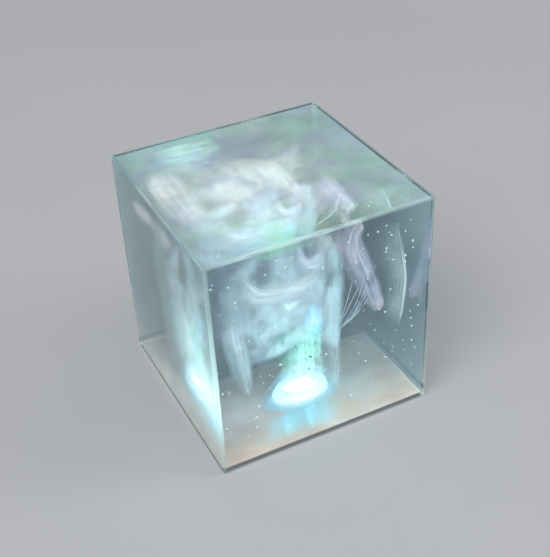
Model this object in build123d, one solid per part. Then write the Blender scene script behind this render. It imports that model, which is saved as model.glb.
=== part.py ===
from build123d import *
import math
import os

# Lit display cube: a solid block of clear cast acrylic with milky veils poured
# into it, and a small battery light that plugs into a round recess in the
# middle of the underside.  The origin is the centre of the resting face, +Z is
# up, -Y is the front.  All lengths are in millimetres.

# ---- clear block ----
block_width = 100.0
block_depth = 100.0
block_height = 105.0
edge_radius = 1.5

# ---- battery light: sizes that are set by themselves ----
cup_radius = 11.0
cup_wall = 1.5
base_gap = 0.5            # the light stands this far above the resting face
cap_height = 2.4
cap_seat_depth = 0.5      # the cell drops this far into the cap
cell_radius = 8.0
cell_height = 1.6
cell_bevel = 0.25
spring_height = 0.6
board_height = 0.6
emitter_height = 0.7
emitter_side = 2.0
emitter_count = 3
window_height = 1.0
window_gap = 0.3          # air above the emitters
shelf_width = 0.9         # ledge that carries the board and the window
opal_radius = 9.6
opal_height = 1.2
seal_section = 0.9
slot_width = 1.6
slot_depth = 0.9
slot_length = 12.0
clip_thickness = 0.3
resistor_length = 1.6
resistor_width = 0.8
resistor_height = 0.45

# ---- named clearances ----
running_gap = 0.05        # radial, between the cap and the cup's bore
ring_gap = 0.04           # radial, between a rubber ring and what it wipes on
socket_gap = 0.35         # radial, between the cup and the block's recess
loose_gap = 0.15          # between pieces that are dropped in
roof_gap = 0.2            # between the window and the opal disc
groove_gap = 0.1          # axial, each side of a rubber ring in its groove

# ---- veils ----
veil_thickness = 1.6
thread_radius = 0.35

# ---- heights that follow ----
cap_top = base_gap + cap_height
cell_base = cap_top - cap_seat_depth
cell_top = cell_base + cell_height
board_base = cell_top + spring_height
board_top = board_base + board_height
emitter_top = board_top + emitter_height
window_base = emitter_top + window_gap
window_top = window_base + window_height
recess_depth = window_top + roof_gap
recess_radius = cup_radius + socket_gap

# ---- radii that follow ----
bore_radius = cup_radius - cup_wall
cap_radius = bore_radius - running_gap
window_radius = cup_radius - 0.6 * cup_wall
window_opening = window_radius - shelf_width
board_radius = bore_radius - loose_gap
cup_groove_radius = recess_radius - 2 * ring_gap - seal_section
cap_groove_radius = bore_radius - 2 * ring_gap - seal_section

STANDING = (Align.CENTER, Align.CENTER, Align.MIN)


def disc(radius, base, height):
    """A round plate standing on the height 'base'."""
    return Pos(0, 0, base) * Cylinder(radius, height, align=STANDING)


def tube(outer, inner, base, height):
    """A round tube standing on the height 'base'."""
    return disc(outer, base, height) - disc(inner, base, height)


def rubber_ring(centre_radius, height):
    """A round-section ring that lies flat with its middle at 'height'."""
    return Pos(0, 0, height) * Torus(centre_radius, seal_section / 2)


def bent_sheet(outline, bend_radius, thickness=veil_thickness):
    """A thin sheet bent about an upright axis and cut to an outline.

    The outline is drawn as seen from the front, about the sheet's own middle,
    in millimetres.  The bend's axis stands behind the sheet.
    """
    half_span = max(abs(x) for x, z in outline) + thickness
    tallest = 3 * max(abs(z) for x, z in outline)
    bend = Cylinder(bend_radius + thickness / 2, tallest)
    bend = bend - Cylinder(bend_radius - thickness / 2, tallest)
    bend = Pos(0, bend_radius, 0) * bend
    face = Plane.XZ * make_face(Spline(*outline, periodic=True))
    sag = bend_radius - math.sqrt(bend_radius ** 2 - half_span ** 2)
    blank = extrude(face, amount=sag + 2 * thickness, both=True)
    return bend & blank


# ---- milky veils poured into the block ----
# The veils were poured to fill the block, so their places and outlines grow and
# shrink with it.  Places are shares of its half width, half depth and height.
# Outlines are in hundredths: of the width across, of the height up a standing
# veil, and of the depth along a lying one.
def inside(x_share, y_share, height_share):
    """A point in the block."""
    return (x_share * block_width / 2, y_share * block_depth / 2, height_share * block_height)


def hundredths(outline, across, along):
    """An outline in hundredths turned into millimetres."""
    return [(a * across / 100, b * along / 100) for a, b in outline]


def standing_veil(outline, bend_radius, middle, turn):
    """A veil that stands upright, turned about the vertical."""
    sheet = bent_sheet(hundredths(outline, block_width, block_height), bend_radius)
    return Pos(*middle) * Rot(0, 0, turn) * sheet


def lying_veil(outline, bend_radius, middle, turn):
    """A veil that lies flat and arches upwards, turned about the vertical."""
    sheet = bent_sheet(hundredths(outline, block_width, block_depth), bend_radius)
    return Pos(*middle) * Rot(0, 0, turn) * Rot(-90, 0, 0) * sheet


def arch_veil():
    outline = [(-25, -10), (-25, 11), (-13, 27), (4, 32), (18, 26), (22, 9), (21, -12),
               (10, -8), (-3, 0), (-14, -3)]
    return standing_veil(outline, 60, inside(-0.12, 0.08, 0.476), 4)


def left_leg_veil():
    outline = [(-4, 20), (3, 19), (5, 2), (2, -19), (-1, -22), (-4, -4)]
    return standing_veil(outline, 40, inside(-0.62, -0.22, 0.40), 18)


def right_column_veil():
    outline = [(-7, 27), (0, 29), (6, 26), (7, 2), (7, -20), (5, -26), (3, -20), (-2, -4)]
    return standing_veil(outline, 30, inside(0.28, -0.16, 0.31), -12)


def flame_veil():
    """A slender milky flame that stands over the light."""
    foot = recess_depth + opal_height + 0.8
    height = 30.0
    side = Spline((0, foot), (4.0, foot + 0.22 * height), (2.6, foot + 0.6 * height),
                  (0, foot + height))
    half = make_face([side, Line((0, foot + height), (0, foot))])
    return revolve(Plane.XZ * half, Axis.Z)


def left_crest_veil():
    outline = [(-11, 2), (-3, 8), (7, 5), (12, -7), (7, -3), (-2, 1)]
    return standing_veil(outline, 26, inside(-0.33, -0.30, 0.72), 10)


def right_crest_veil():
    outline = [(-8, 3), (0, 7), (7, 2), (9, -8), (4, -3), (-2, 1)]
    return standing_veil(outline, 22, inside(0.16, -0.26, 0.765), -8)


def cloud_veil():
    outline = [(-15, -4), (-8, 9), (5, 11), (15, 4), (12, -8), (-2, -11)]
    return lying_veil(outline, 80, inside(-0.16, 0.22, 0.88), 15)


def lilac_swirl_veil():
    outline = [(-5, -17), (-7, 2), (-3, 17), (4, 15), (5, -2), (3, -15)]
    return lying_veil(outline, 24, inside(-0.70, 0.26, 0.80), -6)


def shoulder_veil():
    outline = [(-9, -6), (-8, 5), (0, 9), (8, 4), (9, -7), (0, -3)]
    return standing_veil(outline, 30, inside(0.42, -0.46, 0.82), 76)


def ribbon_veil():
    outline = [(-11, 19), (-7, 22), (-1, 9), (5, -5), (10, -19), (7, -21), (0, -9), (-6, 5)]
    return standing_veil(outline, 50, inside(0.72, 0.06, 0.53), -10)


def edge_sheet_veil():
    outline = [(-4, 26), (3, 20), (6, 2), (4, -20), (-2, -27), (0, -4)]
    return standing_veil(outline, 45, inside(0.84, -0.34, 0.57), 62)


def back_veil():
    outline = [(-14, -12), (-11, 10), (2, 18), (13, 9), (14, -9), (1, -17)]
    return standing_veil(outline, 45, inside(0.40, 0.56, 0.62), 28)


def thread_veils():
    """Three hair-thin threads that run up between the column and the ribbon."""
    threads = []
    for rise in (0.0, 5.5, 11.0):
        start = Vector(*inside(0.50, -0.03, 0.32)) + Vector(0, 0, rise)
        end = Vector(*inside(0.66, 0.0, 0.40)) + Vector(-0.28 * rise, 0, rise)
        middle = (start + end) * 0.5 + Vector(0.4, -0.8, 1.0)
        path = ThreePointArc(start, middle, end)
        profile = Plane(path @ 0, z_dir=path % 0) * Circle(thread_radius)
        threads.append(sweep(profile, path=path))
    return Compound(threads)


# ---- block ----
def opal_disc():
    """White light-spreading disc cast flush into the roof of the recess."""
    return disc(opal_radius, recess_depth, opal_height)


def clear_block(poured_in):
    """The block, cast round the veils and the opal disc, open below for the light."""
    block = Box(block_width, block_depth, block_height, align=STANDING)
    block = fillet(block.edges(), edge_radius)
    block = block - disc(recess_radius, 0, recess_depth)
    for piece in poured_in:
        block = block - piece
    return block


# ---- battery light ----
def module_cup():
    """White cup that holds the board, the cell and the cap."""
    cup = disc(cup_radius, base_gap, window_top - base_gap)
    cup = cup - disc(bore_radius, base_gap, board_top - base_gap)
    cup = cup - disc(window_opening, board_top, window_top - board_top)
    cup = cup - disc(window_radius, window_base, window_height)
    ring_height = seal_section + 2 * groove_gap
    groove = tube(cup_radius, cup_groove_radius, cup_ring_middle() - ring_height / 2, ring_height)
    return cup - groove


def cup_ring_middle():
    """Height of the rubber ring that grips the recess."""
    return cell_top


def module_ring():
    """Rubber ring in the cup's groove that holds the light in its recess."""
    return rubber_ring(recess_radius - ring_gap - seal_section / 2, cup_ring_middle())


def light_window():
    """Frosted window, seated on the cup's ledge, with a softened rim."""
    window = disc(window_radius - running_gap, window_base, window_height)
    return chamfer(window.edges().group_by(Axis.Z)[-1], 0.3)


def led_board():
    """Round circuit board with a flat side and two wire holes."""
    board = disc(board_radius, board_base, board_height)
    flat = Pos(board_radius + 1.0 - 1.0 * loose_gap, 0, board_base)
    board = board - flat * Box(2.4, 8.0, board_height, align=STANDING)
    for side in (-1, 1):
        board = board - Pos(-0.7 * board_radius, side * 1.5, board_base) * Cylinder(
            0.4, board_height, align=STANDING)
    return board


def emitter_ring():
    """Places of the emitters, evenly spaced on a circle."""
    return PolarLocations(0.35 * board_radius, emitter_count)


def led_emitters():
    """Square light emitters soldered to the top of the board."""
    body = Box(emitter_side, emitter_side, emitter_height, align=STANDING)
    body = chamfer(body.edges().group_by(Axis.Z)[-1], 0.15)
    return Compound([Pos(0, 0, board_top) * spot * body for spot in emitter_ring()])


def board_resistors():
    """Two small resistors that set the emitters' current."""
    body = Box(resistor_length, resistor_width, resistor_height, align=STANDING)
    spots = [Pos(-0.62 * board_radius, side * 3.2, board_top) for side in (-1, 1)]
    return Compound([spot * body for spot in spots])


def cell_clip():
    """Bent metal clip that touches the rim of the cell and solders to the board."""
    inner = cell_radius + loose_gap
    base = cap_top + loose_gap
    clip = tube(inner + clip_thickness, inner, base, board_base - base)
    mouth = Pos(0.7 * inner, 0, base) * Box(2 * inner, 1.6 * inner, board_base - base,
                                            align=STANDING)
    return clip - mouth


def contact_spring():
    """Three-armed spring that presses on the top face of the cell."""
    hub_height = 0.2
    hub = disc(1.6, board_base - hub_height, hub_height)
    arm = Pos(0, 0, board_base - hub_height) * Box(5.6, 1.0, hub_height,
                                                  align=(Align.MIN, Align.CENTER, Align.MIN))
    foot_height = spring_height - running_gap
    foot = Pos(5.1, 0, board_base - foot_height) * Box(0.9, 1.0, foot_height, align=STANDING)
    spring = hub
    for turn in range(3):
        spring = spring + Rot(0, 0, 120 * turn) * (arm + foot)
    return spring


def coin_cell():
    """Round lithium cell: a wide can below and a narrower lid above."""
    lid_height = 0.35
    can = disc(cell_radius - running_gap, cell_base + running_gap,
               cell_height - lid_height - running_gap)
    can = chamfer(can.edges().group_by(Axis.Z)[0], cell_bevel)
    lid = disc(cell_radius - 1.0, cell_top - lid_height, lid_height)
    return can + chamfer(lid.edges().group_by(Axis.Z)[-1], 0.15)


def seal_middle():
    """Height of the cap's rubber ring."""
    return base_gap + 0.5 * (cap_height - cap_seat_depth) + 0.1


def cap_seal():
    """Rubber ring in the cap's groove; it travels with the cap."""
    return rubber_ring(bore_radius - ring_gap - seal_section / 2, seal_middle())


def battery_cap():
    """Cap that closes the cup, with a coin slot below and a seat for the cell above."""
    cap = disc(cap_radius, base_gap, cap_height)
    cap = cap - disc(cell_radius + loose_gap, cell_base, cap_seat_depth)
    ring_height = seal_section + 2 * groove_gap
    groove = tube(cap_radius, cap_groove_radius, seal_middle() - ring_height / 2, ring_height)
    cap = cap - groove
    slot = Pos(0, 0, base_gap) * Box(slot_length, slot_width, slot_depth, align=STANDING)
    return cap - slot


def main():
    poured_in = {
        "arch_veil": arch_veil(),
        "left_leg_veil": left_leg_veil(),
        "right_column_veil": right_column_veil(),
        "flame_veil": flame_veil(),
        "left_crest_veil": left_crest_veil(),
        "right_crest_veil": right_crest_veil(),
        "cloud_veil": cloud_veil(),
        "lilac_swirl_veil": lilac_swirl_veil(),
        "shoulder_veil": shoulder_veil(),
        "ribbon_veil": ribbon_veil(),
        "edge_sheet_veil": edge_sheet_veil(),
        "back_veil": back_veil(),
        "thread_veils": thread_veils(),
        "opal_disc": opal_disc(),
    }
    parts = dict(poured_in)
    parts["clear_block"] = clear_block(poured_in.values())
    parts["module_cup"] = module_cup()
    parts["module_ring"] = module_ring()
    parts["light_window"] = light_window()
    parts["led_board"] = led_board()
    parts["led_emitters"] = led_emitters()
    parts["board_resistors"] = board_resistors()
    parts["cell_clip"] = cell_clip()
    parts["contact_spring"] = contact_spring()
    parts["coin_cell"] = coin_cell()
    parts["cap_seal"] = cap_seal()
    parts["battery_cap"] = battery_cap()

    os.makedirs("parts", exist_ok=True)
    for name, shape in parts.items():
        export_step(shape, "parts/" + name + ".step")
        print(name, round(shape.volume, 1))


main()
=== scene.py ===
import math
import random

import bmesh
import bpy
from mathutils import Matrix, Vector, noise


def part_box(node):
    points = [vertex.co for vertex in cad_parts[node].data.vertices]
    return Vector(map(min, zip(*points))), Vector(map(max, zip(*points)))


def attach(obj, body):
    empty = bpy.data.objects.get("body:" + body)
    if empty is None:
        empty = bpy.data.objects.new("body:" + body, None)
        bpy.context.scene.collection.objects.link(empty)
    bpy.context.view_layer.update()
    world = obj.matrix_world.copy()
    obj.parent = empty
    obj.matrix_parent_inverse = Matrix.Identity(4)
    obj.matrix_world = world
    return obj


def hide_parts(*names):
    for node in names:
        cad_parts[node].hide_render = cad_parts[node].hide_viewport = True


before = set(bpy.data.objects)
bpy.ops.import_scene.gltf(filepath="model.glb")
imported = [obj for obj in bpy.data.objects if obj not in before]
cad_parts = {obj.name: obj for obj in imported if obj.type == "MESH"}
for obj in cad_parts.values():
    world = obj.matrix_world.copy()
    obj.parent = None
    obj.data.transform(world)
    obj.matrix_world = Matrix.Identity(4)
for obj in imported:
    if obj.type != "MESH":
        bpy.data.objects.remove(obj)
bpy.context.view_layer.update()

MM = 0.001

# ---- the block and its light, from the frame ----
block_low, block_high = (Vector(corner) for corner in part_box("clear_block"))
block_size = block_high - block_low
opal_low, opal_high = (Vector(corner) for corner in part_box("opal_disc"))
cup_high = Vector(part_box("module_cup")[1])
recess_top = opal_low.z
SOCKET_GAP = 0.35 * MM
recess_radius = cup_high.x + SOCKET_GAP
EDGE_RADIUS = 1.5 * MM

# ---- where the camera stands, for a block one width wide ----
CAMERA_TURN = math.radians(-25.09)
CAMERA_LIFT = math.radians(35.40)
CAMERA_ROLL = math.radians(-3.05)
CAMERA_DISTANCE = 4.520 * block_size.x
CAMERA_ASIDE = 0.015 * block_size.x
CAMERA_ABOVE = 0.019 * block_size.x
CAMERA_LENS = 66.12
CAMERA_SENSOR = 36.0


# ---------------------------------------------------------------- node maths
class Wire:
    """A node's output that Python's operators work on."""

    def __init__(self, finish, socket):
        self.finish = finish
        self.socket = socket

    def maths(self, operation, *others, clamp=False):
        node = self.finish.tree.nodes.new("ShaderNodeMath")
        node.operation = operation
        node.use_clamp = clamp
        for place, value in enumerate((self,) + others):
            self.finish.feed(node.inputs[place], value)
        return Wire(self.finish, node.outputs[0])

    def __add__(self, other):
        return self.maths("ADD", other)

    __radd__ = __add__

    def __mul__(self, other):
        return self.maths("MULTIPLY", other)

    __rmul__ = __mul__

    def __sub__(self, other):
        return self.maths("SUBTRACT", other)

    def __rsub__(self, other):
        return (self * -1.0) + other

    def clamp(self):
        return self.maths("ADD", 0.0, clamp=True)

    def smooth(self, low, high):
        """0 below low, 1 above high and a soft step between them."""
        settings = {"interpolation_type": "SMOOTHSTEP"}
        node = self.finish.node("ShaderNodeMapRange", settings, {
            "Value": self, "From Min": low, "From Max": high, "To Min": 0.0, "To Max": 1.0})
        return node["Result"]


class Outputs:
    """A node's outputs by name or place."""

    def __init__(self, finish, node):
        self.finish = finish
        self.node = node

    def __getitem__(self, key):
        return Wire(self.finish, self.node.outputs[key])


class Finish:
    """A material, its shader and the nodes that feed it."""

    def __init__(self, name, **constants):
        self.material = bpy.data.materials.new(name)
        self.material.use_nodes = True
        self.tree = self.material.node_tree
        self.shader = self.tree.nodes["Principled BSDF"]
        self.output = self.tree.nodes["Material Output"]
        for key, value in constants.items():
            self.shader.inputs[key.replace("_", " ")].default_value = value

    def feed(self, socket, value):
        if isinstance(value, Wire):
            self.tree.links.new(value.socket, socket)
        elif socket.type == "RGBA" and len(value) == 3:
            socket.default_value = (*value, 1.0)
        else:
            socket.default_value = value

    def node(self, kind, settings=None, values=None):
        node = self.tree.nodes.new(kind)
        for key, value in (settings or {}).items():
            setattr(node, key, value)
        for key, value in (values or {}).items():
            self.feed(node.inputs[key], value)
        return Outputs(self, node)

    def set(self, **links):
        """Feeds the shader's own sockets, such as Base_Color or Roughness."""
        for key, value in links.items():
            self.feed(self.shader.inputs[key.replace("_", " ")], value)

    # --- patterns ---
    def place(self):
        """The surface's place in the shared frame, in millimetres."""
        here = self.node("ShaderNodeTexCoord")["Object"]
        scaled = self.node("ShaderNodeVectorMath", {"operation": "SCALE"},
                           {0: here, "Scale": 1.0 / MM})
        return scaled["Vector"]

    def stored(self, name):
        return self.node("ShaderNodeAttribute", {"attribute_name": name})

    def stretch(self, vector, x, y, z):
        moved = self.node("ShaderNodeVectorMath", {"operation": "MULTIPLY"},
                          {0: vector, 1: (x, y, z)})
        return moved["Vector"]

    def shift(self, vector, by):
        moved = self.node("ShaderNodeVectorMath", {"operation": "ADD"}, {0: vector, 1: by})
        return moved["Vector"]

    def clouds(self, vector, size, detail=3.0, rough=0.5, twist=0.0):
        """Soft noise whose lumps are about 'size' millimetres."""
        made = self.node("ShaderNodeTexNoise", None, {
            "Vector": vector, "Scale": 1.0 / size, "Detail": detail, "Roughness": rough,
            "Distortion": twist})
        return made["Fac"]

    def swirl(self, vector, size, reach):
        """The vector pushed about by soft noise, for wisps that curl."""
        made = self.node("ShaderNodeTexNoise", None, {
            "Vector": vector, "Scale": 1.0 / size, "Detail": 2.0})["Color"]
        middle = self.shift(made, (-0.5, -0.5, -0.5))
        pushed = self.node("ShaderNodeVectorMath", {"operation": "SCALE"},
                           {0: middle, "Scale": reach})["Vector"]
        return self.shift(vector, pushed)

    def mix(self, share, first, second):
        made = self.node("ShaderNodeMix", {"data_type": "RGBA"},
                         {0: share, 6: first, 7: second})
        return made[2]

    def tinted(self, colour, amount):
        """A colour made stronger or weaker by a value."""
        made = self.node("ShaderNodeVectorMath", {"operation": "SCALE"},
                         {0: colour, "Scale": amount})
        return made["Vector"]

    def distance(self, vector, point):
        made = self.node("ShaderNodeVectorMath", {"operation": "DISTANCE"},
                         {0: vector, 1: point})
        return made["Value"]

    def parts_of(self, vector):
        return self.node("ShaderNodeSeparateXYZ", None, {0: vector})

    def bump(self, height, strength, depth):
        made = self.node("ShaderNodeBump", None, {
            "Height": height, "Strength": strength, "Distance": depth})
        self.set(Normal=made["Normal"])


# ---------------------------------------------------------------- mesh helpers
def new_piece(name, mesh, body, finish):
    piece = bpy.data.objects.new(name, mesh)
    bpy.context.scene.collection.objects.link(piece)
    mesh.materials.clear()
    mesh.materials.append(finish.material)
    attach(piece, body)
    return piece


def mesh_of(build, name):
    """The built faces as a smooth-shaded mesh."""
    mesh = bpy.data.meshes.new(name)
    build.to_mesh(mesh)
    build.free()
    mesh.polygons.foreach_set("use_smooth", [True] * len(mesh.polygons))
    return mesh


def bridge(build, first, second):
    """A band of faces between two rings of as many points."""
    for k in range(len(first)):
        n = (k + 1) % len(first)
        build.faces.new([first[k], first[n], second[n], second[k]])


def spline(points, t):
    """A point on a smooth curve through the points, t from 0 to 1."""
    last = len(points) - 1
    place = min(max(t, 0.0) * last, last - 1e-6)
    i = int(place)
    f = place - i
    a, b = points[max(i - 1, 0)], points[i]
    c, d = points[i + 1], points[min(i + 2, last)]
    bend = b * 2 + (c - a) * f + (a * 2 - b * 5 + c * 4 - d) * f * f
    return (bend + (b * 3 - a - c * 3 + d) * f ** 3) * 0.5


def soft_step(value, width):
    """0 at 0 and 1 from 'width' on; all 1 where the width is nothing."""
    if width <= 0:
        return 1.0
    t = min(max(value / width, 0.0), 1.0)
    return t * t * (3 - 2 * t)


def veil_mesh(name, rails, layers=3, spacing=0.7, ripple=0.8, seed=1, fade=(.2, .2, .2, .2),
              columns=40, rows=56, shell=0.08, hollows=(), rims=(), turned=False):
    """Thin closed sheets, one over another, bent through the rails.

    rails are lines of points in millimetres, left to right; each runs from the
    foot to the head of the veil.  Each sheet ripples on its own.  'fade' thins the
    veil over that share of it towards its left, right, foot and head, and each
    hollow (u, v, half width, half height, depth) thins it too.  Each rim
    (u, width, gain) is a line from foot to head where the milk is denser and
    carries a painted highlight.  How brightly each point glows is painted light
    and shade, set by which way the sheet turns.  Strands run from foot to head,
    or from left to right where the veil is 'turned'.
    """
    rails = [[Vector(p) for p in rail] for rail in rails]
    grid = []
    for i in range(columns + 1):
        line = []
        for j in range(rows + 1):
            line.append(spline([spline(rail, j / rows) for rail in rails], i / columns))
        grid.append(line)
    build = bmesh.new()
    fades, lies, fold_shades = [], [], []
    step = rows + 1
    rim = list(range(rows)) + [i * step + rows for i in range(columns)]
    rim += [columns * step + j for j in range(rows, 0, -1)] + [i * step for i in range(columns, 0, -1)]
    for layer in range(layers):
        offset = (layer - (layers - 1) / 2) * spacing
        start = Vector((seed * 3.7, layer * 2.3, seed * 1.3))
        bent = push_out(grid, offset, ripple, start)
        sides = ([], [])
        for i in range(columns + 1):
            for j in range(rows + 1):
                normal = grid_normal(bent, i, j)
                u, v = i / columns, j / rows
                thin = (soft_step(u, fade[0]) * soft_step(1 - u, fade[1])
                        * soft_step(v, fade[2]) * soft_step(1 - v, fade[3]))
                for middle_u, middle_v, wide, tall, depth in hollows:
                    far = math.hypot((u - middle_u) / wide, (v - middle_v) / tall)
                    thin *= 1 - depth * (1 - soft_step(far - 0.4, 0.9))
                # Rims: denser milk with a painted highlight along each.
                rim_milk_and_glint = 1.0
                for middle_u, wide, gain in rims:
                    rim_milk_and_glint += gain * math.exp(-((u - middle_u) / wide) ** 2)
                # Painted light and shade: the glow is set by which way the sheet's normal turns,
                # brighter where it faces the light side.
                facing = 0.5 * abs(normal.y) * (1 if normal.y * normal.z < 0 else 0.6)
                lean = 0.5 * normal.x * (-1 if normal.y > 0 else 1)
                for side, sign in zip(sides, (-1, 1)):
                    side.append(build.verts.new((bent[i][j] + normal * shell * sign) * MM))
                    fades.append(thin * (0.5 + 0.5 * rim_milk_and_glint))
                    lies.append((v, u, layer * 0.9 + seed) if turned else (u, v, layer * 0.9 + seed))
                    fold_shades.append((0.5 + facing + lean) * rim_milk_and_glint)
        for i in range(columns):
            for j in range(rows):
                a, b = i * step + j, (i + 1) * step + j
                build.faces.new([sides[1][k] for k in (a, b, b + 1, a + 1)])
                build.faces.new([sides[0][k] for k in (a + 1, b + 1, b, a)])
        for k, first in enumerate(rim):
            second = rim[(k + 1) % len(rim)]
            build.faces.new([sides[1][first], sides[1][second], sides[0][second], sides[0][first]])
    mesh = mesh_of(build, name)
    fade_store = mesh.attributes.new("fade", "FLOAT", "POINT")
    fade_store.data.foreach_set("value", fades)
    fold_shade_store = mesh.attributes.new("fold_shade", "FLOAT", "POINT")
    fold_shade_store.data.foreach_set("value", fold_shades)
    lie_store = mesh.attributes.new("lie", "FLOAT_VECTOR", "POINT")
    lie_store.data.foreach_set("vector", [value for lie in lies for value in lie])
    return mesh


def grid_normal(grid, i, j):
    across = grid[min(i + 1, len(grid) - 1)][j] - grid[max(i - 1, 0)][j]
    along = grid[i][min(j + 1, len(grid[0]) - 1)] - grid[i][max(j - 1, 0)]
    return across.cross(along).normalized()


def push_out(grid, offset, ripple, start):
    """The grid moved along its own normals by an offset and by soft waves."""
    bent = []
    for i, line in enumerate(grid):
        out = []
        for j, here in enumerate(line):
            wave = noise.noise(here * 0.09 + start) + 0.4 * noise.noise(here * 0.23 + start)
            out.append(here + grid_normal(grid, i, j) * (offset + ripple * wave))
        bent.append(out)
    return bent


# ---------------------------------------------------------------- finishes
LIGHT_POINT = (0.0, 0.0, opal_high.z / MM)
FLAME_POINT = (0.0, 0.0, 30.0)
POOL_FLOOR = opal_high.z / MM + 0.6


def clear_acrylic():
    """Polished cast acrylic, a little cool, that takes light away over its depth."""
    made = Finish("clear_acrylic", Roughness=0.0, IOR=1.49, Transmission_Weight=1.0,
                  Base_Color=(0.97, 0.99, 0.99, 1.0))
    here = made.place()
    polish = made.clouds(here, 14.0, detail=2.0)
    wipe = made.clouds(made.stretch(here, 1.0, 0.25, 1.0), 1.1, detail=4.0, rough=0.7)
    made.set(Roughness=(wipe.smooth(0.45, 0.8) * 0.035 + 0.008))
    made.bump(polish, 0.03, 0.0006)
    depth = made.node("ShaderNodeVolumeAbsorption", None, {
        "Color": (0.26, 0.42, 0.50), "Density": 25.0})
    made.feed(made.output.inputs["Volume"], depth["Volume"])
    return made


def milk(name, near, far, shine, body, streak, size=(6.0, 1.4), twist=5.0, glow=0.0,
         turn=(12.0, 75.0)):
    """Milky resin: wisps that run along the veil and thin out at its edges.

    Its glow is painted light from the LED: near and far are its colours close to the light and away
    from it.
    """
    made = Finish(name, Roughness=0.55, Base_Color=(0.16, 0.18, 0.19, 1.0),
                  Emission_Strength=shine * 2.0, Specular_IOR_Level=0.0)
    made.material.cycles.emission_sampling = "NONE"
    here = made.place()
    lie = made.stored("lie")["Vector"]
    fade = made.stored("fade")["Fac"]
    fold_shade = made.stored("fold_shade")["Fac"]
    curled = made.swirl(here, 16.0, twist)
    lumps = made.clouds(curled, size[0] * 2.0, detail=3.0, rough=0.5)
    strands = made.clouds(made.stretch(lie, size[0] * 2.4, 1.6, 3.0), size[1], detail=4.0,
                          rough=0.55, twist=0.6)
    wisps = strands.smooth(0.36, 0.74)
    cloud = lumps.smooth(0.30, 0.70)
    dense = (cloud * body + wisps * streak) * fade
    made.set(Alpha=(dense * 0.5).clamp())
    # Painted light: the glow turns from the near to the far colour away from the light, swells round
    # the flame, is brighter on the strands and is shaded by the stored shading of each sheet.
    away = made.distance(here, LIGHT_POINT).smooth(*turn)
    tone = made.mix(away, near, far)
    lit = (1 - made.distance(here, FLAME_POINT).smooth(6.0, 46.0)) * glow + 1.0
    strand_highlight = strands.smooth(0.45, 0.75) * 0.35 + 0.8
    made.set(Emission_Color=made.tinted(tone, lit * strand_highlight * (fold_shade * 0.6 + 0.5)))
    return made


def haze(name, tone, lit_tone, shine, thick, gain, reach=60.0, middle=(0.0, 0.0, 45.0),
         patch=None):
    """A faint clouding just under a face, with a painted glow that is brighter towards 'middle'.

    It drifts towards the tone of 'patch' here and there.
    """
    made = Finish(name, Roughness=0.6, Base_Color=(0.10, 0.11, 0.12, 1.0),
                  Emission_Strength=shine, Specular_IOR_Level=0.0)
    made.material.cycles.emission_sampling = "NONE"
    here = made.place()
    curled = made.swirl(here, 40.0, 22.0)
    broad = made.clouds(curled, 42.0, detail=2.0).smooth(0.25, 0.75)
    fine = made.clouds(made.stretch(curled, 1.0, 1.0, 0.55), 13.0, detail=3.0).smooth(0.3, 0.75)
    made.set(Alpha=(broad * 0.5 + fine * 0.25 + 0.5) * thick)
    # Painted light: the glow swells towards 'middle'.
    close = 1 - made.distance(here, middle).smooth(0.0, reach)
    shown = made.mix(close, tone, lit_tone)
    if patch:
        drift = made.clouds(made.swirl(here, 30.0, 24.0), 20.0, detail=2.0).smooth(0.42, 0.62)
        shown = made.mix(drift * 0.8, shown, patch)
    made.set(Emission_Color=made.tinted(shown, close * gain + 1.0))
    return made


def opal_glow():
    """The opal disc, lit from below: brightest over the emitters, with dark specks."""
    made = Finish("opal_glow", Roughness=0.5, Base_Color=(0.9, 0.95, 0.95, 1.0),
                  Emission_Strength=9.0)
    here = made.place()
    out = made.distance(here, LIGHT_POINT)
    core = 1 - out.smooth(5.0, 11.6)
    mottle = made.clouds(here, 1.6, detail=3.0).smooth(0.3, 0.7)
    specks = made.clouds(here, 0.35, detail=1.0).smooth(0.70, 0.74)
    level = (core * 0.9 + 0.12) * (mottle * 0.4 + 0.8) * (1 - specks * 0.8)
    tone = made.mix(core, (0.25, 0.80, 0.86), (0.92, 1.0, 0.98))
    made.set(Emission_Color=made.tinted(tone, level))
    return made


def white_moulding(name, glow=0.0):
    made = Finish(name, Roughness=0.45, Base_Color=(0.82, 0.84, 0.84, 1.0),
                  Emission_Strength=glow)
    here = made.place()
    grain = made.clouds(here, 0.35, detail=3.0, rough=0.6)
    wash = made.clouds(here, 5.0)
    made.set(Base_Color=made.mix(wash, (0.78, 0.80, 0.80), (0.87, 0.88, 0.87)),
             Roughness=grain * 0.2 + 0.38)
    if glow:
        # Painted glow of the light on the moulding, brighter towards its top.
        height = made.parts_of(here)["Z"].smooth(0.5, recess_top / MM)
        tone = made.mix(height, (0.30, 0.80, 0.90), (0.90, 1.0, 0.98))
        made.set(Emission_Color=made.tinted(tone, height * 0.85 + 0.15))
    made.bump(grain, 0.25, 0.00004)
    return made


def silicone():
    made = Finish("silicone", Roughness=0.6, Base_Color=(0.55, 0.57, 0.58, 1.0))
    here = made.place()
    dust = made.clouds(here, 0.5, detail=4.0, rough=0.7)
    made.set(Base_Color=made.mix(dust, (0.44, 0.46, 0.47), (0.60, 0.62, 0.62)),
             Roughness=dust * 0.25 + 0.5)
    made.bump(made.clouds(here, 0.22), 0.2, 0.00003)
    return made


def frosted_window():
    made = Finish("frosted_window", Roughness=0.5, Base_Color=(0.86, 0.92, 0.92, 1.0),
                  Emission_Strength=2.2)
    here = made.place()
    frost = made.clouds(here, 0.3, detail=4.0, rough=0.7)
    core = 1 - made.distance(made.stretch(here, 1.0, 1.0, 0.0), (0.0, 0.0, 0.0)).smooth(1.0, 9.5)
    made.set(Base_Color=made.mix(frost, (0.78, 0.86, 0.86), (0.92, 0.96, 0.95)),
             Roughness=frost * 0.3 + 0.35,
             Emission_Color=made.tinted((0.70, 1.0, 0.97), core * 0.8 + frost * 0.2))
    made.bump(frost, 0.4, 0.00004)
    return made


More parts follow.
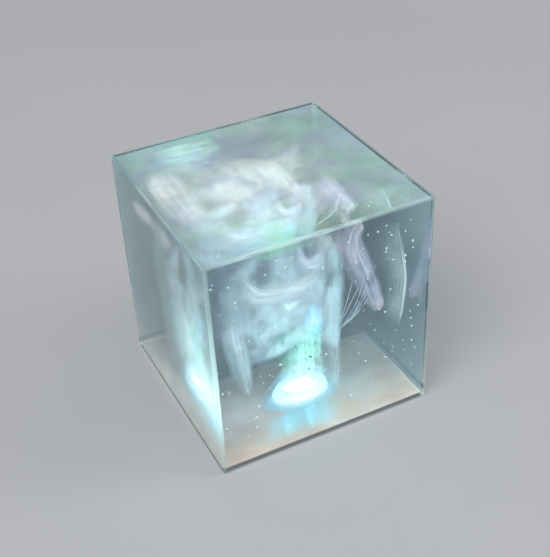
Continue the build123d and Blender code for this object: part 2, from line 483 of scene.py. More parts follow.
def circuit_board():
    made = Finish("circuit_board", Roughness=0.4, Base_Color=(0.82, 0.84, 0.82, 1.0))
    here = made.place()
    cells = made.node("ShaderNodeTexVoronoi", {"feature": "DISTANCE_TO_EDGE"}, {
        "Vector": made.stretch(here, 1.0, 1.0, 0.0), "Scale": 0.42})["Distance"]
    track = 1 - cells.smooth(0.03, 0.07)
    weave = made.clouds(made.stretch(here, 3.0, 3.0, 1.0), 0.5, detail=2.0)
    mask = made.mix(weave, (0.80, 0.82, 0.80), (0.88, 0.90, 0.88))
    made.set(Base_Color=made.mix(track, mask, (0.74, 0.72, 0.60)), Roughness=0.5 - track * 0.2,
             Metallic=track * 0.35)
    made.bump(track + weave * 0.1, 0.3, 0.00003)
    return made


def emitter_resin():
    made = Finish("emitter_resin", Roughness=0.3, Base_Color=(0.90, 0.86, 0.55, 1.0),
                  Emission_Strength=7.0)
    here = made.place()
    cast = made.clouds(here, 0.4, detail=3.0)
    made.set(Base_Color=made.mix(cast, (0.88, 0.80, 0.42), (0.95, 0.92, 0.66)),
             Emission_Color=made.mix(cast, (0.70, 1.0, 0.98), (0.92, 1.0, 0.96)))
    return made


def resistor_black():
    made = Finish("resistor_black", Roughness=0.4, Base_Color=(0.03, 0.03, 0.035, 1.0))
    here = made.place()
    grain = made.clouds(here, 0.15, detail=3.0)
    ends = made.node("ShaderNodeTexWave", {"bands_direction": "X"}, {
        "Vector": here, "Scale": 0.22})["Fac"].smooth(0.72, 0.76)
    made.set(Base_Color=made.mix(grain, (0.02, 0.02, 0.025), (0.06, 0.06, 0.065)),
             Roughness=grain * 0.3 + 0.3, Metallic=ends * 0.2)
    return made


def sprung_steel():
    made = Finish("sprung_steel", Roughness=0.3, Metallic=1.0, Base_Color=(0.62, 0.61, 0.58, 1.0))
    here = made.place()
    rolled = made.clouds(made.stretch(here, 0.4, 5.0, 5.0), 0.8, detail=4.0, rough=0.7)
    made.set(Base_Color=made.mix(rolled, (0.52, 0.51, 0.49), (0.70, 0.69, 0.66)),
             Roughness=rolled * 0.2 + 0.22)
    made.bump(rolled, 0.15, 0.00002)
    return made


def cell_steel():
    made = Finish("cell_steel", Roughness=0.3, Metallic=1.0, Base_Color=(0.68, 0.68, 0.69, 1.0))
    here = made.place()
    out = made.distance(made.stretch(here, 1.0, 1.0, 0.0), (0.0, 0.0, 0.0))
    turned = made.node("ShaderNodeTexNoise", {"noise_dimensions": "1D"}, {
        "W": out * 9.0, "Detail": 3.0, "Scale": 1.0})["Fac"]
    smudge = made.clouds(here, 3.0, detail=3.0)
    made.set(Base_Color=made.mix(turned, (0.58, 0.58, 0.59), (0.76, 0.76, 0.77)),
             Roughness=turned * 0.15 + smudge * 0.15 + 0.15)
    made.bump(turned, 0.15, 0.00002)
    return made


def thread_resin():
    """The hair-thin threads, clouded here and there along their run, with a painted glow."""
    made = Finish("thread_resin", Roughness=0.4, Base_Color=(0.4, 0.42, 0.44, 1.0),
                  Emission_Strength=1.3)
    here = made.place()
    broken = made.clouds(here, 3.5, detail=3.0)
    made.set(Emission_Color=made.mix(broken, (0.62, 0.84, 0.88), (0.90, 0.94, 0.98)),
             Alpha=broken.smooth(0.25, 0.6) * 0.7 + 0.1)
    return made


# ---------------------------------------------------------------- the cast block
def cast_block():
    """The clear block with softened edges and the round recess for the light."""
    build = bmesh.new()
    bmesh.ops.create_cube(build, size=1.0)
    middle = (block_low + block_high) / 2
    for vertex in build.verts:
        vertex.co = Vector(a * b for a, b in zip(vertex.co, block_size)) + middle
    bmesh.ops.bevel(build, geom=build.edges[:], offset=EDGE_RADIUS, segments=6, profile=0.5,
                    affect="EDGES", clamp_overlap=True)
    mesh = bpy.data.meshes.new("cast_block")
    build.to_mesh(mesh)
    build.free()
    piece = new_piece("cast_block", mesh, "block", clear_acrylic())

    cutter_mesh = bpy.data.meshes.new("recess_cutter")
    build = bmesh.new()
    deep = recess_top + 2 * MM
    bmesh.ops.create_cone(build, cap_ends=True, segments=128, radius1=recess_radius,
                          radius2=recess_radius, depth=deep,
                          matrix=Matrix.Translation((0, 0, recess_top - deep / 2)))
    build.to_mesh(cutter_mesh)
    build.free()
    cutter = bpy.data.objects.new("recess_cutter", cutter_mesh)
    bpy.context.scene.collection.objects.link(cutter)
    cut = piece.modifiers.new("recess", "BOOLEAN")
    cut.operation = "DIFFERENCE"
    cut.object = cutter
    for face in mesh.polygons:
        face.use_smooth = True
    level = piece.modifiers.new("level", "WEIGHTED_NORMAL")
    level.keep_sharp = True
    level.weight = 100
    bpy.context.view_layer.update()
    graph = bpy.context.evaluated_depsgraph_get()
    finished = bpy.data.meshes.new_from_object(piece.evaluated_get(graph))
    piece.modifiers.clear()
    piece.data = finished
    bpy.data.objects.remove(cutter)
    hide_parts("clear_block")
    return piece


# ---------------------------------------------------------------- the veils
def pour(name, finish, node=None, slot="milky_resin", **shape):
    piece = new_piece(name, veil_mesh(name, **shape), "block", finish)
    if node:
        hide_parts(node)
    return piece


# Tones of the milk's painted glow.
CYAN = (0.58, 0.84, 0.86)
PALE = (0.64, 0.80, 0.82)
LILAC = (0.66, 0.66, 0.84)


def pour_arch():
    """The arch over the light, its left leg and the fluted column at its right."""
    pour("arch_milk", milk("arch_milk", CYAN, PALE, 1.22, 0.28, 0.20, size=(4.0, 1.7), twist=9.0,
                           glow=0.5), "arch_veil",
         rails=[[(-30, 2, 24), (-35, 2, 42), (-36, 4, 60), (-30, 6, 78)],
                [(-19, -4, 30), (-24, -6, 48), (-24, -4, 66), (-18, 2, 84)],
                [(-8, -4, 31), (-10, -8, 46), (-10, -8, 66), (-4, 0, 87)],
                [(6, -4, 31), (6, -8, 50), (8, -8, 66), (10, 0, 87)],
                [(20, 2, 20), (22, -2, 42), (23, 0, 60), (22, 4, 80)]],
         layers=3, spacing=1.3, ripple=1.6, seed=3, fade=(.15, .04, .10, .18),
         hollows=[(.36, .77, .13, .11, .9), (.74, .9, .08, .1, .9), (.5, .26, .16, .06, .6)])
    pour("left_leg_milk", milk("left_leg_milk", (0.66, 0.84, 0.84), PALE, 1.1, 0.24, 0.32),
         "left_leg_veil",
         rails=[[(-29, -8, 20), (-35, -10, 38), (-38, -10, 60)],
                [(-27, -10, 18), (-31, -13, 38), (-33, -14, 62)],
                [(-25, -8, 20), (-24, -11, 36), (-25, -12, 60)]],
         layers=3, spacing=0.9, ripple=0.8, seed=5, fade=(.2, .35, .1, .3), columns=24)
    pour("right_column_milk",
         milk("right_column_milk", (0.66, 0.84, 0.86), (0.66, 0.82, 0.86), 1.1, 0.24, 0.36,
              size=(7.0, 1.1)), "right_column_veil",
         rails=[[(9, -6, 14), (8, -7, 34), (7, -8, 62)],
                [(13, -9, 8), (13, -11, 34), (13, -12, 66)],
                [(16, -8, 4), (17, -9, 34), (17, -9, 68)],
                [(17.5, -6, 4), (18.5, -6, 34), (18.5, -6, 66)]],
         layers=3, spacing=0.8, ripple=0.7, seed=7, fade=(.5, .02, .15, .3), columns=28,
         rims=[(.97, .05, 1.2)])


def pour_flame():
    """The flame of milk over the light and the coloured milk that it lights up; their glow is painted
    light.
    """
    pour("flame_milk",
         milk("flame_milk", (0.70, 1.0, 0.88), (0.26, 0.92, 0.66), 0.9, 0.20, 0.35, glow=0.8,
              turn=(8.0, 34.0)),
         "flame_veil", slot="glow_resin",
         rails=[[(-10, 0, 9), (-9, -2, 18), (-8, -1, 26), (-6, 1, 36)],
                [(-3, -7, 9), (-3, -6, 20), (-1, -4, 30), (1, -3, 38)],
                [(6, -6, 9), (6, -5, 20), (6, -3, 32), (7, -2, 42)],
                [(12, 1, 9), (12, 0, 20), (12, 0, 32), (12, 0, 44)]],
         layers=4, spacing=1.6, ripple=1.6, seed=11, fade=(.3, .3, .05, .4), columns=28)
    pour("blue_lobe_milk",
         milk("blue_lobe_milk", (0.22, 0.66, 1.0), (0.24, 0.66, 1.0), 2.1, 0.45, 0.25,
              size=(9.0, 3.0)),
         slot="glow_resin",
         rails=[[(3, -1, 35), (2, -2, 42), (3, -1, 49)], [(7, -2, 33), (7, -4, 42), (7, -2, 52)],
                [(12, -1, 34), (13, -2, 42), (11, -1, 50)]],
         layers=2, spacing=1.0, ripple=0.6, seed=61, fade=(.45, .45, .35, .35), columns=16, rows=20)
    pour("pale_spark_milk",
         milk("pale_spark_milk", (0.80, 1.0, 0.90), (0.80, 1.0, 0.90), 2.0, 0.5, 0.5,
              size=(5.0, 2.0)),
         slot="glow_resin",
         rails=[[(-8, -6, 56), (-8, -7, 58), (-8, -6, 60)], [(-5, -7, 54), (-5, -8, 56), (-5, -7, 58)],
                [(0, -6, 55), (0, -7, 57), (0, -6, 60)]],
         layers=2, spacing=0.6, ripple=0.3, seed=62, fade=(.45, .45, .45, .45), columns=12, rows=12)
    pour("green_fold_milk",
         milk("green_fold_milk", (0.05, 0.95, 0.32), (0.08, 0.95, 0.42), 1.05, 0.45, 0.5,
              size=(5.0, 1.6), turn=(22.0, 30.0)), slot="glow_resin",
         rails=[[(-12, -5, 31), (-11, 3, 34), (-10, 12, 31)],
                [(-3, -6, 33), (-2, 4, 36), (-1, 14, 33)],
                [(8, -5, 32), (9, 5, 35), (10, 15, 33)], [(18, -3, 30), (19, 5, 32), (20, 15, 30)]],
         layers=2, spacing=0.8, ripple=1.8, seed=63, fade=(.4, .4, .4, .4), columns=28, rows=24)
    pour("green_haze_milk",
         milk("green_haze_milk", (0.16, 0.95, 0.48), (0.22, 0.95, 0.60), 0.62, 0.7, 0.3,
              size=(6.0, 2.0)), slot="glow_resin",
         rails=[[(-12, -9, 21), (-12, 6, 25), (-11, 24, 29)],
                [(-2, -10, 23), (-2, 7, 28), (-1, 25, 32)],
                [(11, -9, 21), (11, 6, 25), (12, 24, 29)]],
         layers=1, spacing=0.8, ripple=1.4, seed=68, fade=(.4, .4, .35, .35), columns=24, rows=32)


def pour_light_patches():
    """Painted light: green light caught just under the top face, and blue light spilt over the
    underside.
    """
    pour("green_front_light",
         milk("green_front_light", (0.26, 0.96, 0.50), (0.30, 0.96, 0.54), 0.62, 0.62, 0.35,
              size=(5.0, 1.6)), slot="glow_resin",
         rails=[[(-29, -48, 99.5), (-29, -42, 100.5), (-27, -34, 100.5)],
                [(-16, -48, 99.5), (-16, -41, 101), (-14, -30, 101)],
                [(0, -48, 99.5), (-1, -42, 100.5), (-2, -34, 100.5)]],
         layers=1, ripple=0.5, seed=71, fade=(.45, .45, .1, .5), columns=28, rows=20)
    pour("green_back_light",
         milk("green_back_light", (0.44, 0.98, 0.62), (0.44, 0.98, 0.62), 0.72, 0.60, 0.5,
              size=(4.0, 1.2)), slot="glow_resin",
         rails=[[(-35, 30, 100.5), (-35, 38, 101), (-35, 46.5, 100)],
                [(-19, 27, 101), (-19, 37, 101.5), (-18, 47, 100)],
                [(-2, 30, 100.5), (-3, 38, 101), (-4, 46.5, 100)]],
         layers=1, ripple=0.6, seed=72, fade=(.4, .4, .4, .25), columns=28, rows=20, turned=True)
    pour("blue_spill_light",
         milk("blue_spill_light", (0.30, 0.84, 1.0), (0.24, 0.80, 1.0), 1.0, 1.5, 0.2,
              size=(24.0, 6.0)), slot="glow_resin",
         rails=[[(-31, -46, 3.4), (-29, -30, 3.4), (-24, -12, 3.4)],
                [(-11, -47, 3.5), (-9, -30, 3.5), (-5, -13, 3.5)],
                [(10, -46, 3.4), (12, -30, 3.4), (14, -12, 3.4)]],
         layers=1, ripple=0.15, seed=69, fade=(.5, .5, .5, .25), columns=24, rows=24)


def pour_crests():
    """The two crests over the hollows of the arch."""
    pour("left_crest_milk", milk("left_crest_milk", (0.78, 0.92, 0.96), (0.80, 0.90, 0.94), 0.95,
                                 0.15, 0.6, size=(4.0, 1.0)), "left_crest_veil",
         rails=[[(-30, -13, 76), (-28, -15.5, 81), (-27, -13, 87)],
                [(-24, -14, 65.5), (-22, -17, 71), (-20, -14, 76)],
                [(-15, -14, 63), (-14, -17.5, 68.5), (-12.5, -14, 73.5)],
                [(-3, -14, 62), (-3, -17.5, 67.5), (-3, -14, 72.5)],
                [(9, -13, 65), (9, -15, 70), (8, -13, 74)]],
         layers=3, spacing=0.8, ripple=0.4, seed=13, fade=(.25, .25, .45, .3), rows=28, turned=True)
    pour("right_crest_milk", milk("right_crest_milk", (0.78, 0.90, 0.96), (0.76, 0.82, 0.94), 0.95,
                                  0.15, 0.6, size=(4.0, 1.0)), "right_crest_veil",
         rails=[[(-5, -11, 81), (-3, -13, 85), (-1, -11, 89)],
                [(-1, -12, 73), (0.5, -15, 78), (2, -12, 82)],
                [(5, -12, 71), (5, -15, 75.5), (5, -12, 79.5)],
                [(14, -11, 73), (12, -13, 77.5), (10, -11, 82)]],
         layers=3, spacing=0.8, ripple=0.4, seed=17, fade=(.3, .3, .45, .3), rows=28, turned=True)


def pour_clouds():
    """The cloud behind the arch and the one under the top face."""
    pour("hind_cloud_milk", milk("hind_cloud_milk", (0.60, 0.78, 0.80), (0.60, 0.74, 0.78), 0.65,
                                 0.34, 0.12, size=(12.0, 3.0), twist=9.0),
         rails=[[(-42, 8, 10), (-44, 10, 50), (-42, 12, 92)],
                [(-20, 14, 10), (-20, 17, 50), (-18, 18, 94)],
                [(2, 15, 12), (4, 18, 50), (4, 18, 92)],
                [(18, 12, 14), (19, 15, 50), (20, 16, 88)]],
         layers=2, spacing=3.0, ripple=2.2, seed=67, fade=(.25, .2, .2, .25), columns=32)
    pour("cloud_milk", milk("cloud_milk", CYAN, (0.76, 0.86, 0.86), 0.75, 0.14, 0.16),
         "cloud_veil",
         rails=[[(-26, -6, 90), (-26, 8, 92), (-24, 24, 90)],
                [(-14, -10, 92), (-12, 8, 95), (-10, 28, 92)],
                [(0, -10, 92), (2, 6, 95), (4, 26, 92)],
                [(12, -4, 89), (14, 8, 91), (14, 22, 89)]],
         layers=3, spacing=1.2, ripple=1.6, seed=19, fade=(.35, .35, .35, .35))


def pour_lilac():
    """The lilac swirl, the shoulder and the ribbon with its pink end."""
    pour("lilac_swirl_milk", milk("lilac_swirl_milk", LILAC, (0.92, 0.82, 0.88), 1.1, 0.20, 0.14,
                                   size=(9.0, 2.4)),
         "lilac_swirl_veil", slot="lilac_resin",
         rails=[[(-42, -8, 84), (-44, 12, 88), (-42, 36, 84)],
                [(-35, -10, 88), (-36, 12, 92), (-34, 38, 88)],
                [(-26, -8, 86), (-27, 12, 89), (-26, 36, 86)]],
         layers=3, spacing=1.2, ripple=1.4, seed=23, fade=(.3, .3, .3, .3))
    pour("shoulder_milk", milk("shoulder_milk", LILAC, (0.80, 0.74, 0.84), 0.9, 0.25, 0.4,
                               size=(6.0, 1.0)), "shoulder_veil", slot="lilac_resin",
         rails=[[(18, -40, 78), (19, -38, 88), (22, -36, 95)],
                [(18, -26, 78), (19, -24, 88), (23, -22, 96)],
                [(15, -12, 78), (16, -10, 86), (20, -8, 93)]],
         layers=2, spacing=0.8, ripple=0.8, seed=29, fade=(.25, .3, .2, .12))
    pour("ribbon_milk", milk("ribbon_milk", LILAC, (0.86, 0.78, 0.92), 1.35, 0.22, 0.26,
                             size=(6.0, 1.2)), "ribbon_veil", slot="lilac_resin",
         rails=[[(37, 2, 35), (29, 0, 50), (22, 0, 64), (16, 2, 80)],
                [(41, 0, 35), (36, -3, 50), (30, -4, 66), (24, 0, 84)],
                [(44, 3, 37), (41, 1, 52), (36, 1, 68), (30, 3, 84)]],
         layers=3, spacing=0.9, ripple=0.9, seed=31, fade=(.5, .4, .05, .35), columns=24)
    pour("ribbon_end_milk", milk("ribbon_end_milk", (1.0, 0.78, 0.72), (1.0, 0.76, 0.70), 1.0,
                                 0.4, 0.3, size=(6.0, 2.0)), slot="lilac_resin",
         rails=[[(36.5, 0, 36), (36.5, -1.5, 40), (35.5, 0, 44)],
                [(40, 0, 35), (40, -2, 39), (39, 0, 44)],
                [(43.5, 1, 36), (43.5, -0.5, 40), (42.5, 1, 44)]],
         layers=2, spacing=0.7, ripple=0.3, seed=64, fade=(.3, .3, .25, .5), columns=16, rows=16)


def pour_right_side():
    """The ridge, the sheet with a painted highlight along its rim, and the faint veil at the right."""
    pour("ridge_milk", milk("ridge_milk", (0.94, 0.92, 0.84), (0.92, 0.92, 0.86), 0.95, 0.25, 0.35,
                            size=(8.0, 1.0)),
         rails=[[(3, 28, 78), (3, 10, 81), (4, -8, 82), (8, -26, 79)],
                [(12, 28, 83), (12, 10, 86), (11, -8, 86), (13, -26, 83)],
                [(17, 27, 78), (16, 10, 81), (15, -8, 81), (18, -25, 78)]],
         layers=3, spacing=1.2, ripple=1.0, seed=65, fade=(.5, .35, .25, .4), columns=24)
    pour("edge_sheet_milk", milk("edge_sheet_milk", (0.62, 0.86, 0.74), (0.76, 0.92, 0.82), 1.3,
                                 0.20, 0.26, size=(6.0, 1.2)), "edge_sheet_veil",
         rails=[[(38, -8, 32), (40, -8, 58), (34, -8, 86)],
                [(42, -16, 31), (44.5, -17, 58), (39, -16, 88)],
                [(44, -22, 32), (46.5, -24, 58), (42, -22, 88)]],
         layers=2, spacing=0.7, ripple=0.4, seed=37, fade=(.7, .02, .32, .3), columns=32,
         rims=[(.96, .05, 5.0)])
    pour("back_milk", milk("back_milk", (0.70, 0.70, 0.66), (0.76, 0.72, 0.66), 0.7, 0.25, 0.25),
         "back_veil", slot="beige_resin",
         rails=[[(8, 22, 46), (7, 20, 66), (10, 22, 86)],
                [(22, 28, 44), (22, 26, 66), (24, 28, 88)],
                [(34, 36, 48), (35, 34, 66), (36, 36, 84)]],
         layers=3, spacing=1.2, ripple=1.4, seed=41, fade=(.35, .35, .35, .35))


def strands():
    """Hair-thin threads that fan out from the column towards the ribbon."""
    root = Vector((18.5, -2.0, 32.0))
    tips = ((34.5, 0.0, 59.0), (35.5, -1.0, 54.0), (35.0, -1.5, 49.0), (36.0, -1.0, 45.0),
            (31.0, -2.0, 40.0), (28.0, 0.0, 57.0), (32.0, 1.0, 52.0))
    build = bmesh.new()
    around, along = 8, 30
    for place, tip in enumerate(tips):
        tip = Vector(tip)
        sag = Vector((1.5, -0.8 + 0.4 * place, -3.0 + 0.7 * place))
        rings = []
        for step in range(along + 1):
            share = 0.12 + 0.88 * step / along
            here = root.lerp(tip, share) + sag * math.sin(share * math.pi)
            here += Vector((0, 0, 0.5)) * noise.noise(Vector((place, share * 4, 0)))
            thick = 0.22 * math.sin(math.pi * min(max(step / along, 0.06), 0.94)) ** 0.6
            ring = []
            for k in range(around):
                angle = 2 * math.pi * k / around
                spoke = Vector((-0.4 * math.cos(angle), math.sin(angle), math.cos(angle)))
                ring.append(build.verts.new((here + spoke * thick) * MM))
            rings.append(ring)
        for first, second in zip(rings, rings[1:]):
            bridge(build, first, second)
        build.faces.new(rings[0][::-1])
        build.faces.new(rings[-1])
    bmesh.ops.recalc_face_normals(build, faces=build.faces[:])
    mesh = mesh_of(build, "strands")
    piece = new_piece("strands", mesh, "block", thread_resin())
    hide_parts("thread_veils")


def light_pool():
    """Clouding straight over the opal disc, in shallow domes that fade outwards, with a painted glow
    brightest over the disc.
    """
    made = Finish("light_pool", Roughness=0.6, Base_Color=(0.2, 0.22, 0.22, 1.0),
                  Emission_Strength=5.2, Specular_IOR_Level=0.0)
    here = made.place()
    out = made.distance(made.swirl(here, 9.0, 4.0), (0.0, 0.0, 9.0))
    core = 1 - out.smooth(4.0, 15.0)
    halo = 1 - out.smooth(9.0, 23.0)
    mottle = made.clouds(here, 2.2, detail=4.0).smooth(0.25, 0.75) * 0.4 + 0.8
    made.set(Alpha=((core * 0.055 + halo * 0.045) * mottle).clamp())
    tone = made.mix(core, (0.30, 0.74, 0.86), (0.86, 1.0, 0.98))
    made.set(Emission_Color=made.tinted(tone, core * 0.8 + halo * 0.15 + 0.2))
    build = bmesh.new()
    turns, rings = 72, 14
    for dome in range(6):
        tall, wide = 1.5 + dome * 3.0, 23.0 - dome * 2.0
        crowns = []
        for lift in (0.0, 0.2):
            crown = [build.verts.new(Vector((0, 0, POOL_FLOOR + tall + lift)) * MM)]
            for ring in range(1, rings + 1):
                share = ring / rings
                for k in range(turns):
                    angle = 2 * math.pi * (k + 0.5 * dome) / turns
                    out_by = wide * share
                    wave = 0.8 * noise.noise(Vector((math.cos(angle), math.sin(angle), dome)) * 1.7)
                    fall = 6.2 * soft_step(out_by - 12.0, 9.0)
                    high = (POOL_FLOOR + lift + tall * (1 - share * share) - fall
                            + wave * share * (1 - share) * 2)
                    crown.append(build.verts.new(Vector((
                        out_by * math.cos(angle), out_by * math.sin(angle), high)) * MM))
            crowns.append(crown)
        for side, crown in enumerate(crowns):
            for k in range(turns):
                n = (k + 1) % turns
                tip = [crown[0], crown[1 + k], crown[1 + n]]
                build.faces.new(tip if side else tip[::-1])
                for ring in range(rings - 1):
                    a, b = 1 + ring * turns, 1 + (ring + 1) * turns
                    quad = [crown[a + k], crown[b + k], crown[b + n], crown[a + n]]
                    build.faces.new(quad if side else quad[::-1])
        last = 1 + (rings - 1) * turns
        for k in range(turns):
            n = (k + 1) % turns
            build.faces.new([crowns[0][last + k], crowns[0][last + n],
                             crowns[1][last + n], crowns[1][last + k]])
    mesh = mesh_of(build, "light_pool")
    new_piece("light_pool", mesh, "block", made)


def light_skirt():
    """Dense clouding that hugs the recess, with a painted glow, white and brighter at its shoulder and
    blue at its foot.
    """
    made = Finish("light_skirt", Roughness=0.6, Base_Color=(0.2, 0.22, 0.22, 1.0),
                  Emission_Strength=2.1, Specular_IOR_Level=0.0)
    here = made.place()
    out = made.distance(made.stretch(here, 1.0, 1.0, 0.0), (0.0, 0.0, 0.0))
    rise = made.parts_of(here)["Z"].smooth(2.4, 7.0)
    mottle = made.clouds(here, 1.8, detail=4.0).smooth(0.25, 0.75) * 0.3 + 0.75
    made.set(Alpha=((1 - out.smooth(12.2, 21.0)) * out.smooth(7.5, 10.5) * mottle * 0.7).clamp())
    tone = made.mix(rise, (0.26, 0.76, 0.95), (0.90, 1.0, 0.98))
    made.set(Emission_Color=made.tinted(tone, rise * 0.9 + 0.60))
    profile = ((7.5, 9.5), (10.5, 9.6), (12.0, 9.1), (12.9, 7.4), (13.5, 5.2), (14.6, 3.8),
               (17.0, 3.2), (19.5, 3.0), (22.5, 2.9))
    turns = 96
    build = bmesh.new()
    crowns = []
    for lift in (0.0, 0.14):
        crown = []
        for step in range(33):
            share = step / 32
            radius, high, _ = spline([Vector((r, z, 0.0)) for r, z in profile], share)
            ring = []
            for k in range(turns):
                angle = 2 * math.pi * k / turns
                puff = 1 + 0.05 * noise.noise(Vector((math.cos(angle), math.sin(angle), share)) * 2)
                reach = (radius + lift) * (puff if radius > 13 else 1.0)
                ring.append(build.verts.new(Vector((
                    reach * math.cos(angle), reach * math.sin(angle), high + lift)) * MM))
            crown.append(ring)
        crowns.append(crown)
    lower, upper = crowns
    for crown in crowns:
        for first, second in zip(crown, crown[1:]):
            bridge(build, first, second)
    bridge(build, lower[0], upper[0])
    bridge(build, lower[-1], upper[-1])
    bmesh.ops.recalc_face_normals(build, faces=build.faces[:])
    mesh = mesh_of(build, "light_skirt")
    new_piece("light_skirt", mesh, "block", made)


def bubbles():
    """Tiny trapped bubbles, thickest round the light and behind the front face. Their colour is
    painted light: dark round the light, as seen against its glow, and glowing pale elsewhere.
    """
    made = Finish("bubble_air", Roughness=0.2, Base_Color=(0.3, 0.32, 0.34, 1.0),
                  Emission_Strength=1.5)
    here = made.place()
    near = 1 - made.distance(here, (2.0, -2.0, 24.0)).smooth(20.0, 26.0)
    wall = made.clouds(here, 0.4)
    # Painted light: the bubbles near the light are dark, as seen against its glow; the rest glow pale.
    made.set(Alpha=near * 0.4 + wall * 0.3 + 0.4,
             Base_Color=made.mix(near, (0.30, 0.33, 0.35), (0.02, 0.06, 0.07)),
             Emission_Color=made.mix(near, (0.62, 0.70, 0.74), (0.02, 0.09, 0.10)))
    chance = random.Random(7)
    build = bmesh.new()
    round_light, behind_front, elsewhere = 80, 150, 70
    for k in range(round_light + behind_front + elsewhere):
        if k < round_light:
            spot = (chance.gauss(0, 9), chance.gauss(-6, 8), chance.uniform(12, 44))
        elif k < round_light + behind_front:
            spot = (chance.uniform(-46, 46), -46 + 30 * chance.random() ** 2, chance.uniform(10, 98))
        else:
            spot = (chance.uniform(-44, 44), chance.uniform(-44, 40), chance.uniform(12, 98))
        radius = 0.26 + 0.22 * chance.random() ** 2
        at = Matrix.Translation(Vector(spot) * MM)
        tall = Matrix.Diagonal((1.0, 1.0, 1.0 + 0.3 * chance.random(), 1.0))
        bmesh.ops.create_icosphere(build, subdivisions=2, radius=radius * MM, matrix=at @ tall)
    mesh = mesh_of(build, "bubbles")
    new_piece("bubbles", mesh, "block", made)


SKIN_DEPTH = 1.9
SKIN_FOOT = 2.4


def haze_panel(finish, corners, seed, columns=20, ripple=0.35):
    """A faint cloudy skin just under one of the block's faces."""
    left_foot, right_foot, right_head, left_head = (Vector(corner) for corner in corners)
    rails = []
    for share in (0.0, 0.5, 1.0):
        foot = left_foot.lerp(right_foot, share)
        head = left_head.lerp(right_head, share)
        rails.append([foot, foot.lerp(head, 0.5), head])
    pour(finish.material.name, finish, rails=rails, layers=1, ripple=ripple, seed=seed,
         fade=(0, 0, 0, 0), columns=columns, rows=columns)


def cloudy_skin():
    """Faint clouding under each face, and over the underside round the recess, each with a painted
    glow.
    """
    x = block_high.x / MM - SKIN_DEPTH
    y = block_high.y / MM - SKIN_DEPTH
    low, high = SKIN_FOOT, block_high.z / MM - SKIN_DEPTH
    cool = (0.42, 0.66, 0.76)
    lit = (0.52, 0.92, 0.95)
    haze_panel(haze("front_haze", (0.47, 0.67, 0.75), lit, 0.68, 0.15, 0.6,
                    middle=(0.0, -48.0, 12.0)),
               [(-x, -y, low), (x, -y, low), (x, -y, high), (-x, -y, high)], 51)
    haze_panel(haze("back_haze", cool, lit, 0.36, 0.20, 0.3),
               [(x, y, low), (-x, y, low), (-x, y, high), (x, y, high)], 52)
    haze_panel(haze("left_haze", (0.20, 0.33, 0.35), (0.62, 0.98, 1.0), 0.86, 0.44, 1.25, reach=48.0,
                    middle=(-48.0, -42.0, 42.0)),
               [(-x, y, low), (-x, -y, low), (-x, -y, high), (-x, y, high)], 53)
    haze_panel(haze("right_haze", (0.34, 0.54, 0.64), lit, 0.42, 0.32, 0.2),
               [(x, -y, low), (x, y, low), (x, y, high), (x, -y, high)], 54)
    haze_panel(haze("top_haze", (0.44, 0.66, 0.57), (0.80, 0.89, 0.86), 1.58, 0.22, 0.25,
                    middle=(-14.0, 0.0, 102.0), reach=52.0, patch=(0.44, 0.52, 0.64)),
               [(-x, -y, high), (x, -y, high), (x, y, high), (-x, y, high)], 55)
    inner = recess_radius / MM + 1.0
    tone, lit_tone = (0.80, 0.60, 0.45), (0.96, 0.84, 0.76)
    base = haze("foot_haze", tone, lit_tone, 1.54, 0.38, 0.5, reach=44.0, middle=(-26.0, 4.0, 2.4),
                patch=(0.80, 0.70, 0.62))
    haze_ring(base, inner, x, low + 0.4)


def haze_ring(finish, inner, reach, level):
    """The clouding over the underside, open over the recess."""
    build = bmesh.new()
    turns, rings = 96, 12
    rows = {}
    for side, lift in ((0, level), (1, level + 0.16)):
        for k in range(turns):
            angle = 2 * math.pi * k / turns
            out = Vector((math.cos(angle), math.sin(angle), 0))
            far = reach / max(abs(out.x), abs(out.y))
            for ring in range(rings + 1):
                share = ring / rings
                at = out * (inner + (far - inner) * share)
                wave = 0.25 * noise.noise(at * 0.12) * min(share, 1 - share) * 2
                rows[side, k, ring] = build.verts.new(
                    Vector((at.x, at.y, lift + wave)) * MM)
    for k in range(turns):
        n = (k + 1) % turns
        for ring in range(rings):
            build.faces.new([rows[1, k, ring], rows[1, k, ring + 1],
                             rows[1, n, ring + 1], rows[1, n, ring]])
            build.faces.new([rows[0, k, ring], rows[0, n, ring],
                             rows[0, n, ring + 1], rows[0, k, ring + 1]])
        build.faces.new([rows[0, k, 0], rows[1, k, 0], rows[1, n, 0], rows[0, n, 0]])
        build.faces.new([rows[0, k, rings], rows[0, n, rings], rows[1, n, rings], rows[1, k, rings]])
    mesh = mesh_of(build, finish.material.name)
    new_piece(finish.material.name, mesh, "block", finish)


def edge_light():
    """Light caught along the polished edges, as thin strips just inside them."""
    finish = haze("edge_light", (0.48, 0.66, 0.66), (0.62, 0.84, 0.84), 0.9, 0.17, 0.4,
                  middle=(-10.0, -50.0, 60.0), reach=90.0)
    inset = 0.2 * MM
    middle = (block_low + block_high) / 2
    size = block_size - Vector((inset, inset, inset)) * 2
    build = bmesh.new()
    bmesh.ops.create_cube(build, size=1.0)
    for vertex in build.verts:
        vertex.co = Vector(a * b for a, b in zip(vertex.co, size)) + middle
    bmesh.ops.bevel(build, geom=build.edges[:], offset=EDGE_RADIUS - inset, segments=4,
                    profile=0.5, affect="EDGES", clamp_overlap=True)
    wide = [face for face in build.faces if face.calc_area() > (20 * MM) ** 2]
    bmesh.ops.delete(build, geom=wide, context="FACES_ONLY")
    bmesh.ops.solidify(build, geom=build.faces[:], thickness=0.08 * MM)
    bmesh.ops.recalc_face_normals(build, faces=build.faces[:])
    mesh = mesh_of(build, "edge_light")
    new_piece("edge_light", mesh, "block", finish)


# ---------------------------------------------------------------- the studio
def soft_light(name, place, size, power, tone):
    """A round soft light turned towards the block."""
    data = bpy.data.lights.new(name, "AREA")
    data.shape = "DISK"
    data.size = size
    data.energy = power
    data.color = tone
    lamp = bpy.data.objects.new(name, data)
    lamp.location = place
    aim = Vector((0, 0, 0.05)) - Vector(place)
    lamp.rotation_euler = aim.to_track_quat("-Z", "Y").to_euler()
    bpy.context.scene.collection.objects.link(lamp)


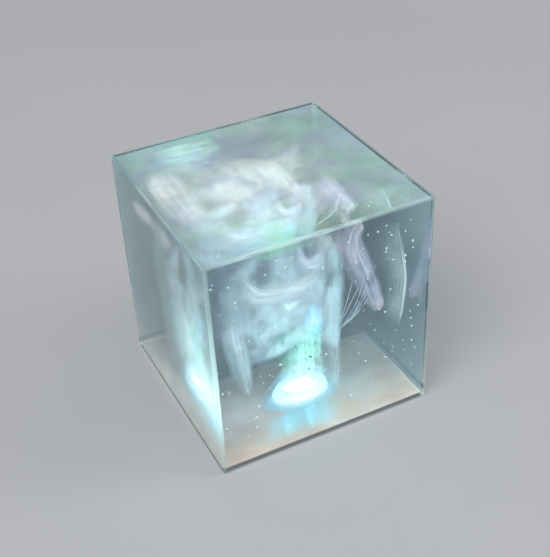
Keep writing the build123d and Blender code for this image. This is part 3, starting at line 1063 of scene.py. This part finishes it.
def studio():
    build = bmesh.new()
    bmesh.ops.create_circle(build, cap_ends=True, segments=96, radius=4.0)
    mesh = bpy.data.meshes.new("floor")
    build.to_mesh(mesh)
    build.free()
    floor = bpy.data.objects.new("floor", mesh)
    bpy.context.scene.collection.objects.link(floor)
    pale = Finish("pale_floor", Roughness=0.6, Emission_Strength=0.09)
    here = pale.place()
    wash = pale.clouds(here, 220.0, detail=2.0)
    pale.set(Base_Color=pale.mix(wash, (0.52, 0.52, 0.54), (0.58, 0.58, 0.59)),
             Emission_Color=pale.mix(wash, (0.86, 0.87, 0.90), (0.92, 0.93, 0.95)))
    mesh.materials.append(pale.material)

    world = bpy.data.worlds.new("studio")
    bpy.context.scene.world = world
    world.use_nodes = True
    sky = world.node_tree.nodes["Background"]
    sky.inputs["Color"].default_value = (0.86, 0.88, 0.92, 1.0)
    sky.inputs["Strength"].default_value = 0.42

    soft_light("key", (-0.9, -0.5, 1.3), 0.9, 9.0, (1.0, 0.98, 0.95))
    soft_light("side_fill", (1.5, -0.7, 1.0), 1.0, 8.0, (0.95, 0.97, 1.0))


def camera():
    turn, lift, roll = CAMERA_TURN, CAMERA_LIFT, CAMERA_ROLL
    back = Vector((math.sin(turn) * math.cos(lift), -math.cos(turn) * math.cos(lift),
                   math.sin(lift)))
    side = Vector((math.cos(turn), math.sin(turn), 0.0))
    up = back.cross(side)
    side, up = (side * math.cos(roll) + up * math.sin(roll),
                up * math.cos(roll) - side * math.sin(roll))
    looked_at = Vector((0.0, 0.0, 0.5 * block_size.x))
    place = looked_at + back * CAMERA_DISTANCE + side * CAMERA_ASIDE + up * CAMERA_ABOVE
    data = bpy.data.cameras.new("camera")
    data.sensor_width = CAMERA_SENSOR
    data.lens = CAMERA_LENS
    data.clip_start = 0.01
    data.clip_end = 20.0
    eye = bpy.data.objects.new("camera", data)
    eye.matrix_world = Matrix((
        (side.x, up.x, back.x, place.x), (side.y, up.y, back.y, place.y),
        (side.z, up.z, back.z, place.z), (0.0, 0.0, 0.0, 1.0)))
    bpy.context.scene.collection.objects.link(eye)
    bpy.context.scene.camera = eye


def dress(node, finish):
    """Gives a CAD node its finish."""
    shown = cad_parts[node]
    shown.data.materials.clear()
    shown.data.materials.append(finish.material)


def light_paths():
    """Enough bounces for light to pass every veil and to turn back inside the block."""
    cycles = bpy.context.scene.cycles
    cycles.transparent_max_bounces = 96
    cycles.transmission_bounces = 24
    cycles.max_bounces = 28
    cycles.volume_bounces = 0
    bpy.context.scene.view_settings.view_transform = "Standard"


def dress_light():
    """The finishes of the light's own parts."""
    rubber = silicone()
    steel = sprung_steel()
    finishes = {
        "opal_disc": opal_glow(), "module_cup": white_moulding("lit_moulding", glow=3.0),
        "battery_cap": white_moulding("white_moulding"), "module_ring": rubber,
        "cap_seal": rubber, "light_window": frosted_window(), "led_board": circuit_board(),
        "led_emitters": emitter_resin(), "board_resistors": resistor_black(),
        "cell_clip": steel, "contact_spring": steel, "coin_cell": cell_steel()}
    for node, finish in finishes.items():
        dress(node, finish)


camera()
studio()
light_paths()
cast_block()
pour_arch()
pour_flame()
pour_light_patches()
pour_crests()
pour_clouds()
pour_lilac()
pour_right_side()
light_pool()
light_skirt()
cloudy_skin()
edge_light()
dress_light()
strands()
bubbles()
